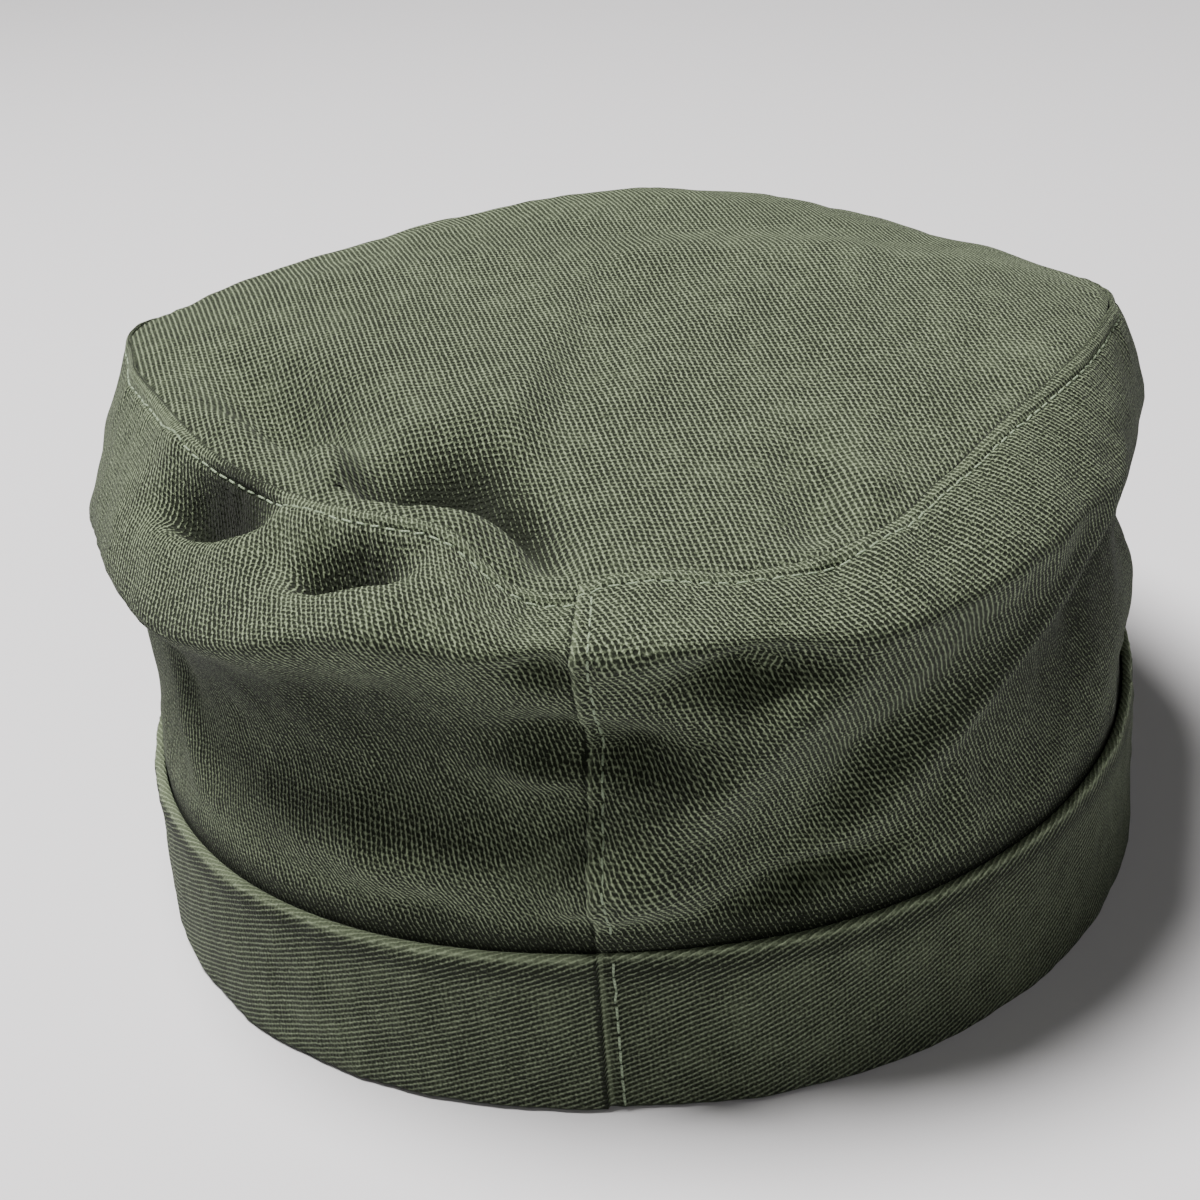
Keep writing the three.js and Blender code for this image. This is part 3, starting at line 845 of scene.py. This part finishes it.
def arc_places(turns, radius_out):
    """Distance round the cap from the back seam, for each turn."""
    fine = np.linspace(-180, 360, 5401)
    points = point_at(fine, radius_out, 0)
    lengths = np.concatenate([[0], np.cumsum(np.linalg.norm(np.diff(points, axis=0), axis=-1))])
    lengths -= np.interp(0, fine, lengths)
    return np.interp(turns, fine, lengths)


ARC = arc_places(TURNS, ARC_OUT)
CIRCUMFERENCE = float(np.diff(arc_places(np.array([0, 359.999]), ARC_OUT))[0])
CLOTH_ROUND = {
    "side_strip": np.array([CIRCUMFERENCE, 0]),
    "band_strip": np.array([CIRCUMFERENCE, 0]),
    "top_panel": np.array([0, 0]),
}


def right_of_seam(grid):
    """Distance to the right of the back seam, for each column of a grid."""
    return -np.radians(within_half_turn(TURNS))[:, None] * BAND_HALF_LENGTH + 0 * grid


def dent_shade(points):
    """Painted shade deep in the dents of the top and the shoulder, but not in its valleys."""
    depth = 0 * points[..., 0]
    for fold in TOP_FOLD_ROWS:
        if "dent" in fold["name"] and fold["up"] < 0:
            away = (points[..., 0] - fold["x"], points[..., 1] - fold["y"])
            depth = depth - fold["up"] * fold_height(*away, fold, fold["heading"])
    return DENT_PAINTED_SHADE * smooth(depth, DENT_PAINTED_SHADE_FROM, DENT_PAINTED_SHADE_TO)


def side_shade(turn, up):
    """Painted shade: darker colour in the broad shaded places of the side."""
    dark = 0 * up
    for shade in SHADE_ROWS:
        around = bell(within_half_turn(turn - shade["turn"]), shade["half_turn"])
        dark = dark + shade["dark"] * around * bell(up - shade["up"], shade["half_height"])
    return dark


def lap_wear_and_shade(right):
    """Pale where the lap's fold is worn, and painted shade in the gap beside it."""
    pale = np.where(right >= 0, LAP_FOLD_PALE * bell(right - 0.3, 0.4), 0)
    return pale - LAP_GAP_PAINTED_SHADE * bell(right + 0.25, 0.25)


def lap_detail(right, ridge_high, ridge_half_width, lumps):
    """The lap's layer with the ridge along its fold and the groove under its stitches."""
    ridge = ridge_high * lumps * bell(right - LAP_RIDGE_IN, ridge_half_width)
    layer = lap_out(within_half_turn(TURNS)[:, None])
    return layer + np.where(right >= 0, ridge, 0) - LAP_GROOVE * bell(right - TOPSTITCH_IN, 0.5)


def side_detail(points, from_seam):
    """How far the side strip's face stands out from its plain form."""
    place = ARC[:, None] + 0 * from_seam
    right = right_of_seam(from_seam)
    welt = WELT_HIGH * swelling(place, 0.15, WELT_WAVES)
    out = welt * bell(from_seam - TOPSTITCH_IN / 2, WELT_HALF_WIDTH)
    out -= STITCH_DIP * bell(from_seam - TOPSTITCH_IN, STITCH_DIP_HALF_WIDTH)
    pucker = uneven_along(place, SIDE_PUCKERS)
    out += pucker * smooth(from_seam, 1.2, 3.5) * np.exp(-from_seam / PUCKER_REACH)

    out += lap_detail(right, LAP_RIDGE_HIGH, LAP_RIDGE_HALF_WIDTH, swelling(from_seam, 0.3, LAP_WAVES))
    near_back = bell(within_half_turn(TURNS)[:, None], 40)
    back_pucker = uneven_along(from_seam + 0.5 * right, BACK_PUCKERS)
    out += back_pucker * np.exp(-np.abs(right) / BACK_PUCKER_REACH) * near_back
    return out + uneven_at(points, SIDE_LUMPS)


def side_wear_and_shade(points, from_seam):
    """Side strip paler from wear along its seams, darker as painted shade in creases, gaps, dents and
    shade.
    """
    above_band = points[..., 2] - BAND_HEIGHT - lift_at(TURNS)[:, None]
    wear_and_shade = SEAM_PALE * bell(from_seam - 0.9, 0.9) + SIDE_LAP_SHARE * lap_wear_and_shade(right_of_seam(from_seam))
    # Painted shade in the crease where the side strip leaves the band.
    wear_and_shade = wear_and_shade - CREASE_PAINTED_SHADE * bell(above_band - LEDGE_RISE, CREASE_HALF_WIDTH)
    near_seam = 1 - smooth(from_seam, 14, 20)
    turn = within_half_turn(TURNS)[:, None]
    # Painted shade in the dents near the seam and in the broad shaded places of the side.
    return wear_and_shade - dent_shade(points) * near_seam - side_shade(turn, points[..., 2])


def foot_rows(top_up, out):
    """Rows of the strip's foot behind the band, from top_up down to just above the band's edge."""
    height = np.linspace(1, 0, FOOT_ROWS + 1)[None, 1:]
    foot_up = lift_at(TURNS)[:, None] + FOOT_ABOVE_BAND_EDGE
    turns = (TURNS + seam_shift(TURNS, 0))[:, None]
    return point_at(turns, out + 0 * height, foot_up + (top_up - foot_up) * height)


def side_strip():
    """Outside from the seam down, round the foot, inside back up, and over the seam's edge."""
    plain, from_seam, rises = rows_on(side_grid, 3.0, 0.0)
    worn_and_shaded = side_wear_and_shade(plain, from_seam)
    face = plain + normals_of(plain) * side_detail(plain, from_seam)[..., None]
    outward = normals_of(face)

    edge = round_edge(face, outward, 2 * EDGE_ROUND)
    foot_out = -BAND_WALL - PIECE_GAP
    foot = foot_rows(face[:, -1:, 2], foot_out)
    inside_foot = foot_rows(face[:, -1:, 2], foot_out - CLOTH_WALL)
    inside = (plain - normals_of(plain) * CLOTH_WALL)[:, ::INSIDE_EVERY]
    inside[:, 0] = face[:, 0] - outward[:, 0] * 2 * EDGE_ROUND
    loops = np.concatenate([face, foot, inside_foot[:, ::-1], inside[:, ::-1], edge[:, ::-1]], axis=1)

    down = lengths_along(loops)
    even = even_lengths(rises) - DENT_CLOTH * shoulder_folds_up(plain, rises)
    last = face.shape[1] - 1
    down += (even[:, -1] - down[:, last])[:, None]
    down[:, :last + 1] = even
    cloth = np.stack([np.repeat(ARC[:, None], loops.shape[1], axis=1), -down], -1)
    wear_and_shade = np.zeros(loops.shape[:2])
    wear_and_shade[:, :last + 1] = worn_and_shaded
    # Painted shade on the foot behind the band and on the edge turned under the top, in the gaps between
    # pieces.
    wear_and_shade[:, last + 1:last + 1 + FOOT_ROWS] = -FOOT_PAINTED_SHADE
    wear_and_shade[:, -edge.shape[1]:] = -TURNED_EDGE_PAINTED_SHADE
    piece = ring_mesh("side_strip", loops, cloth, CLOTHS["crown_twill"], wear_and_shade, True)
    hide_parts("crown_side")
    return face, outward, from_seam


# Top


def top_detail(points, from_rim):
    """How far the top's face stands up from its plain form: puckers, the rim's tuck and soft lumps."""
    place = ARC[:, None] + 0 * from_rim
    pucker = uneven_along(place, TOP_PUCKERS)
    out = pucker * smooth(from_rim, 0.4, 2.5) * np.exp(-from_rim / PUCKER_REACH)
    out -= TOP_TUCK * (1 - smooth(from_rim, 0, TOP_TUCK_WIDTH))
    out += uneven_at(points, TOP_LONG_LUMPS) * smooth(from_rim, 0, 6)
    out += uneven_at(points, TOP_SHORT_LUMPS) * smooth(from_rim, 0, 4)
    return out


def top_panel():
    """A disc of cloth: its face from the rim to the middle, and its underside back out."""
    face, from_rim, reaches = rows_on(top_point, 1.0, MIDDLE_REACH)
    face = face - normals_of(face) * top_detail(face, from_rim)[..., None]
    upward = -normals_of(face)
    flat = face[..., :2] + np.array([0, APEX_FORWARD])
    dents = top_folds_up(face[..., 0], face[..., 1]) * (1 - smooth(reaches, FOLDS_TO_REACH, 1))
    flat[..., 1] -= DENT_CLOTH * dents

    edge = round_edge(face, upward, 2 * EDGE_ROUND)
    under = (face - upward * CLOTH_WALL)[:, ::INSIDE_EVERY]
    under[:, 0] = face[:, 0] - upward[:, 0] * 2 * EDGE_ROUND
    loops = np.concatenate([face[:, ::-1], edge, under], axis=1)
    edge_flat = np.repeat(flat[:, :1], edge.shape[1], axis=1)
    cloth = np.concatenate([flat[:, ::-1], edge_flat, flat[:, ::INSIDE_EVERY]], axis=1)
    wear_and_shade = np.zeros(loops.shape[:2])
    # Painted shade deep in the top's dents.
    wear_and_shade[:, :face.shape[1]] = -dent_shade(face)[:, ::-1]
    above = top_point(np.array(0.0), np.array(0.0))
    above[2] = face[:, -1, 2].mean()
    below = above - np.array([0, 0, CLOTH_WALL])
    caps = ((0, above, (0, 0)), (loops.shape[1] - 1, below, (0, 0)))
    piece = ring_mesh("top_panel", loops, cloth, CLOTHS["top_twill"], wear_and_shade, False, caps)
    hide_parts("crown_top")


# Band


def band_face(turn, out, level):
    """A point of the band. Level 0 is its lower edge and 1 its upper edge."""
    return point_at(turn, out + 0 * level, lift_at(turn) + BAND_HEIGHT * level)


def band_rim(below_edge):
    """1 along the band's folded upper edge, less away from it."""
    return bell(below_edge - 0.2, RIM_HALF_WIDTH)


def band_detail(face, below_edge):
    """How far the band's face stands out from its plain form."""
    out = lap_detail(right_of_seam(below_edge), BAND_RIDGE_HIGH, BAND_RIDGE_HALF_WIDTH, 1)
    out = out + uneven_at(face, BAND_LUMPS)
    out = out + (RIM_HIGH + uneven_at(face, RIM_WAVES)) * band_rim(below_edge)
    return out - RIM_GROOVE * bell(below_edge - 2.6, 1.0)


def band_wear_and_shade(face, below_edge):
    """Pale where the rim and the lap's fold are worn; painted shade in the groove below the rim and the
    lap's gap.
    """
    pale = RIM_PALE * band_rim(below_edge) * (1 + uneven_at(face, RIM_WEAR_WAVES))
    return pale - RIM_GROOVE_PAINTED_SHADE * bell(below_edge - 2.8, 1.1) + lap_wear_and_shade(right_of_seam(below_edge))


def turned_rows(start, end, rise):
    """Rows that turn over an edge of the band from one row of points to another."""
    middle = (start + end) / 2
    half = (start - end) / 2
    rows = []
    for step in range(1, BAND_ROUND_STEPS):
        angle = np.pi * step / BAND_ROUND_STEPS
        rows.append(middle + half * math.cos(angle) + np.array([0, 0, rise * math.sin(angle)]))
    return np.stack(rows, 1)


def band_strip():
    """The folded band: outside, rounded upper edge, inside, rounded lower edge."""
    levels = np.concatenate([
        np.linspace(BAND_TURNED, RIM_FROM, BAND_ROWS),
        np.linspace(RIM_FROM + 0.02, 1 - BAND_TURNED, RIM_ROWS),
    ])
    shifted = (TURNS + seam_shift(TURNS, 0))[:, None]
    face = band_face(shifted, 0, levels[None, :])
    below_edge = (1 - levels)[None, :] * BAND_HEIGHT + np.zeros((len(TURNS), 1))
    face = face + normals_of(face) * band_detail(face, below_edge)[..., None]

    inside_levels = np.linspace(1 - BAND_TURNED, BAND_TURNED, BAND_INSIDE_ROWS)
    inside = band_face(shifted, -BAND_WALL, inside_levels[None, :])
    turned = BAND_TURNED * BAND_HEIGHT
    upper = turned_rows(face[:, -1], inside[:, 0], turned)
    lower = turned_rows(inside[:, -1], face[:, 0], -turned)
    loops = np.concatenate([face, upper, inside, lower], axis=1)
    cloth = np.stack([np.repeat(ARC[:, None], loops.shape[1], axis=1), lengths_along(loops)], -1)
    wear_and_shade = np.zeros(loops.shape[:2])
    wear_and_shade[:, :face.shape[1]] = band_wear_and_shade(face, below_edge)
    wear_and_shade[:, face.shape[1]:face.shape[1] + upper.shape[1]] = RIM_BACK_PALE
    piece = ring_mesh("band_strip", loops[:, ::-1], cloth[:, ::-1], CLOTHS["band_twill"],
                      wear_and_shade[:, ::-1], True)
    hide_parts("band")
    return face, normals_of(face)


# Peak


def peak_edges():
    """The seam that the peak hangs from and the peak's front edge, from one end to the other."""
    sweep = np.linspace(-90, 90, PEAK_COLUMNS + 1)
    sin = np.sin(np.radians(sweep))
    cos = np.maximum(np.cos(np.radians(sweep)), 0)
    seam_turn = 180 - PEAK_HALF_TURN * sweep / 90
    seam = point_at(seam_turn, -BAND_WALL, lift_at(seam_turn) - PIECE_GAP)
    end_y = point_at(np.array(180.0 - PEAK_HALF_TURN), 0, 0)[1]
    power = 2 / PEAK_SQUARENESS
    length = BAND_HALF_LENGTH + PEAK_REACH + end_y - PEAK_END_LENGTH
    edge = np.stack([
        PEAK_HALF_WIDTH * np.sign(sin) * np.abs(sin) ** power,
        end_y - PEAK_END_LENGTH - length * cos**power,
        PEAK_END_UP + (PEAK_EDGE_UP - PEAK_END_UP) * cos,
    ], -1)
    return seam, edge, cos


def peak_face_grid(seam, edge, camber):
    """The peak's upper face, arched from front to back, and each point's distance from the seam."""
    share = np.linspace(0, 1, PEAK_ROWS + 1)[None, :, None]
    face = seam[:, None] * (1 - share) + edge[:, None] * share
    face[..., 2] += camber[:, None] * 4 * share[..., 0] * (1 - share[..., 0])
    return face, lengths_along(face)


def peak_nose(middle, ahead):
    """Rows that turn over the front edge from the face to the underside."""
    half = PEAK_THICKNESS / 2
    rows = []
    for step in range(1, NOSE_STEPS):
        angle = np.pi * step / NOSE_STEPS
        up = np.array([0, 0, half * math.cos(angle)])
        rows.append(middle + ahead * NOSE_FLATNESS * half * math.sin(angle) + up)
    return np.stack(rows, 1)


def closed_strip_faces(columns, around):
    """Faces of a strip whose columns are closed rings, with a face at both ends."""
    faces = []
    for column in range(columns):
        for point in range(around):
            beside = (point + 1) % around
            low = column * around
            high = low + around
            faces.append((low + point, low + beside, high + beside, high + point))
    faces.append(tuple(range(around))[::-1])
    faces.append(tuple(columns * around + point for point in range(around)))
    return faces


def peak_cloth():
    """The stiffened peak, with its face, rounded front edge and underside."""
    seam, edge, cos = peak_edges()
    face, reach = peak_face_grid(seam, edge, PEAK_CAMBER * cos)
    from_edge = reach[:, -1:] - reach
    out = uneven_at(face, PEAK_LUMPS) - PEAK_GROOVE * bell(from_edge - PEAK_STITCH_IN, 0.7)
    face[..., 2] += out
    under = face[:, ::-1].copy()
    under[..., 2] -= PEAK_THICKNESS + out[:, ::-1]
    ahead = edge - seam
    ahead[:, 2] = 0
    ahead /= np.linalg.norm(ahead, axis=-1, keepdims=True)
    middle = (face[:, -1] + under[:, 0]) / 2
    half = PEAK_THICKNESS / 2
    face[:, -1] = middle - ahead * NOSE_FLATNESS * half + np.array([0, 0, half])
    loops = np.concatenate([face, peak_nose(middle, ahead), under], axis=1)

    lengths = lengths_along(loops)
    past_edge = (lengths - lengths[:, PEAK_ROWS:PEAK_ROWS + 1])[:, PEAK_ROWS + 1:]
    cloth = loops[..., :2].copy()
    cloth[:, PEAK_ROWS + 1:, 1] = cloth[:, PEAK_ROWS:PEAK_ROWS + 1, 1] - past_edge
    cloth = cloth.reshape(-1, 2)
    faces = closed_strip_faces(PEAK_COLUMNS, loops.shape[1])
    loop_cloth = np.concatenate([cloth[list(corners)] for corners in faces])
    piece = mesh_piece("peak_cloth", loops.reshape(-1, 3), faces, loop_cloth, CLOTHS["band_twill"],
                       np.zeros(len(cloth)))
    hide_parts("peak")
    return face, reach


# Stitches


def stitch_row(name, path, outward, first, lift, seed):
    """Stitches along a path of points, each a short thread that dives into the cloth at both ends."""
    draw = np.random.default_rng(seed)
    lengths = np.concatenate([[0], np.cumsum(np.linalg.norm(np.diff(path, axis=0), axis=-1))])
    share = np.linspace(-1, 1, STITCH_RINGS)
    radius = THREAD_RADIUS * (1 - STITCH_TAPER * share**8)
    spoke = 2 * np.pi * np.arange(STITCH_SIDES) / STITCH_SIDES
    points = []
    faces = []
    cloth = []
    for stitch in range(int((lengths[-1] - first) / STITCH_PITCH)):
        middle = first + (stitch + 0.5) * STITCH_PITCH + draw.normal(0, STITCH_WANDER)
        long = STITCH_LENGTH * draw.uniform(0.9, 1.1)
        skew = draw.normal(0, STITCH_SKEW)
        sunk = abs(draw.normal(0, STITCH_SINK))
        at = middle + long * share / 2
        centre = np.stack([np.interp(at, lengths, path[:, axis]) for axis in range(3)], -1)
        out = np.stack([np.interp(at, lengths, outward[:, axis]) for axis in range(3)], -1)
        out /= np.linalg.norm(out, axis=-1, keepdims=True)
        along = np.gradient(centre, axis=0)
        along /= np.linalg.norm(along, axis=-1, keepdims=True)
        sideways = np.cross(along, out)
        above = (lift - sunk - STITCH_DIVE * share**6)[:, None]
        centre = centre + out * above + sideways * (skew * share)[:, None]
        base = len(points) * STITCH_SIDES
        for ring in range(STITCH_RINGS):
            circle = np.cos(spoke)[:, None] * out[ring] + np.sin(spoke)[:, None] * sideways[ring]
            points.append(centre[ring] + circle * radius[ring])
            cloth.append(np.stack([np.full(STITCH_SIDES, at[ring]), spoke], -1))
        faces += stitch_faces(base)
    points = np.concatenate(points)
    cloth = np.concatenate(cloth)
    loop_cloth = np.concatenate([cloth[list(face)] for face in faces])
    return mesh_piece(name, points, faces, loop_cloth, THREAD)


def stitch_faces(base):
    """Faces of one stitch, whose first point has the number base."""
    faces = []
    for ring in range(STITCH_RINGS - 1):
        low = base + ring * STITCH_SIDES
        high = low + STITCH_SIDES
        for side in range(STITCH_SIDES):
            beside = (side + 1) % STITCH_SIDES
            faces.append((low + side, high + side, high + beside, low + beside))
    faces.append(tuple(base + side for side in range(STITCH_SIDES)))
    end = base + (STITCH_RINGS - 1) * STITCH_SIDES
    faces.append(tuple(end + side for side in reversed(range(STITCH_SIDES))))
    return faces


def crown_stitches(face, outward, from_seam):
    """The row of topstitching round the crown, below the seam with the top."""
    row = int(np.argmin(np.abs(from_seam[0] - TOPSTITCH_IN)))
    path = np.concatenate([face[:, row], face[:1, row]])
    normal = np.concatenate([outward[:, row], outward[:1, row]])
    stitch_row("crown_seam_stitches", path, normal, 0, STITCH_LIFT, 51)


def back_stitches(side, band):
    """The rows beside the lapped seam, down the side strip and up the band."""
    column = int(np.argmin(np.abs(within_half_turn(TURNS) + STITCH_TURN)))
    for name, (face, outward), first, lift, seed in (
        ("back_seam_stitches", side, BACK_STITCHES_FROM, BACK_STITCH_LIFT, 52),
        ("band_seam_stitches", band, BAND_STITCHES_FROM, BAND_STITCH_LIFT, 53),
    ):
        stitch_row(name, face[column], outward[column], first, lift, seed)


def peak_stitches(face, reach):
    """One row of topstitching along the peak's edge, from near one end to near the other."""
    path = []
    for column in range(PEAK_BARE_COLUMNS, len(face) - PEAK_BARE_COLUMNS):
        wanted = max(reach[column, -1] - PEAK_STITCH_IN, 0)
        path.append([np.interp(wanted, reach[column], face[column, :, axis]) for axis in range(3)])
    path = np.array(path)
    up = np.tile(np.array([0.0, 0.0, 1.0]), (len(path), 1))
    stitch_row("peak_stitches", path, up, 0, STITCH_LIFT, 54)


# Camera, floor and light


def make_camera():
    """The camera that sees the cap as the photo does."""
    elevation = math.radians(CAMERA_ELEVATION)
    azimuth = math.radians(CAMERA_AZIMUTH)
    roll = math.radians(CAMERA_ROLL)
    back = Vector((
        -math.sin(azimuth) * math.cos(elevation),
        math.cos(azimuth) * math.cos(elevation),
        math.sin(elevation),
    ))
    level_right = (-back).cross(Vector((0, 0, 1))).normalized()
    level_up = back.cross(level_right)
    right = level_right * math.cos(roll) - level_up * math.sin(roll)
    up = level_right * math.sin(roll) + level_up * math.cos(roll)
    data = bpy.data.cameras.new("camera")
    data.sensor_width = SENSOR_WIDTH
    data.lens = FOCAL_LENGTH
    data.clip_start = 0.01
    camera = bpy.data.objects.new("camera", data)
    bpy.context.scene.collection.objects.link(camera)
    target = Vector(to_row_frame(CAMERA_TARGET))
    place = target + back * CAMERA_DISTANCE * METRES
    camera.matrix_world = Matrix.Translation(place) @ Matrix((right, up, back)).transposed().to_4x4()
    bpy.context.scene.camera = camera


def make_floor():
    mesh = bpy.data.meshes.new("floor")
    corners = [(-FLOOR_HALF, -FLOOR_HALF, 0), (FLOOR_HALF, -FLOOR_HALF, 0),
               (FLOOR_HALF, FLOOR_HALF, 0), (-FLOOR_HALF, FLOOR_HALF, 0)]
    mesh.from_pydata(corners, [], [(0, 1, 2, 3)])
    mesh.materials.append(plain_material("floor", FLOOR_COLOUR))
    floor = bpy.data.objects.new("floor", mesh)
    floor.location.z = -FLOOR_DROP
    bpy.context.scene.collection.objects.link(floor)


def make_light(light):
    """A round area light that faces the cap."""
    data = bpy.data.lights.new(light["name"], "AREA")
    data.shape = "DISK"
    data.size = light["size"]
    data.energy = light["power"]
    data.color = LIGHT_COLOUR
    lamp = bpy.data.objects.new(light["name"], data)
    lamp.location = light["place"]
    towards = Vector((0, 0, light["aim_up"])) - Vector(light["place"])
    lamp.rotation_euler = towards.to_track_quat("-Z", "Y").to_euler()
    bpy.context.scene.collection.objects.link(lamp)


make_camera()
side_face, side_outward, side_from_seam = side_strip()
top_panel()
band_outside, band_outward = band_strip()
peak_face, peak_reach = peak_cloth()
crown_stitches(side_face, side_outward, side_from_seam)
back_stitches((side_face, side_outward), (band_outside, band_outward))
peak_stitches(peak_face, peak_reach)
make_floor()
for light_row in named_rows(LIGHT_COLUMNS, LIGHTS):
    make_light(light_row)
